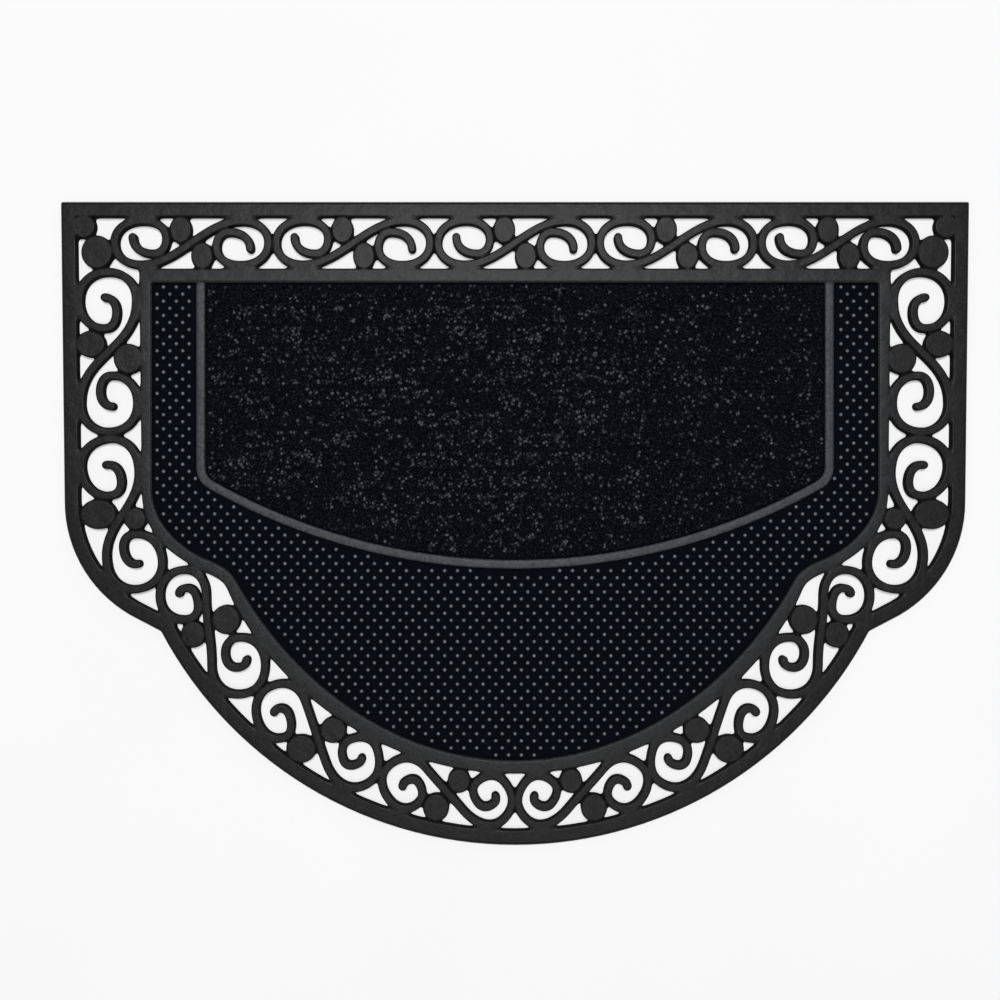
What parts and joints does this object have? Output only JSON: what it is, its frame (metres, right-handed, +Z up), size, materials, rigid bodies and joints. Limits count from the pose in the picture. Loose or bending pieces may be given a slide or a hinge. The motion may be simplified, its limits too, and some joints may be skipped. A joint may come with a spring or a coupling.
{
  "type": "doormat",
  "caption": "Half-round moulded rubber doormat with a pierced scroll border, a pimpled sunk field and an inlaid carpet panel.",
  "frame": {"origin": "middle of the flat underside", "axes": "+X along the straight edge, +Y from the round edge to the straight edge, +Z up from the ground"},
  "size_m": [0.75, 0.531, 0.008],
  "materials": {
    "rubber": "satin moulded rubber",
    "carpet": "ribbed needle-punch pile, black with loose grey fibres"
  },
  "bodies": {
    "root": {"rubber_mat": "rubber", "carpet_insert": "carpet"}
  },
  "joints": []
}
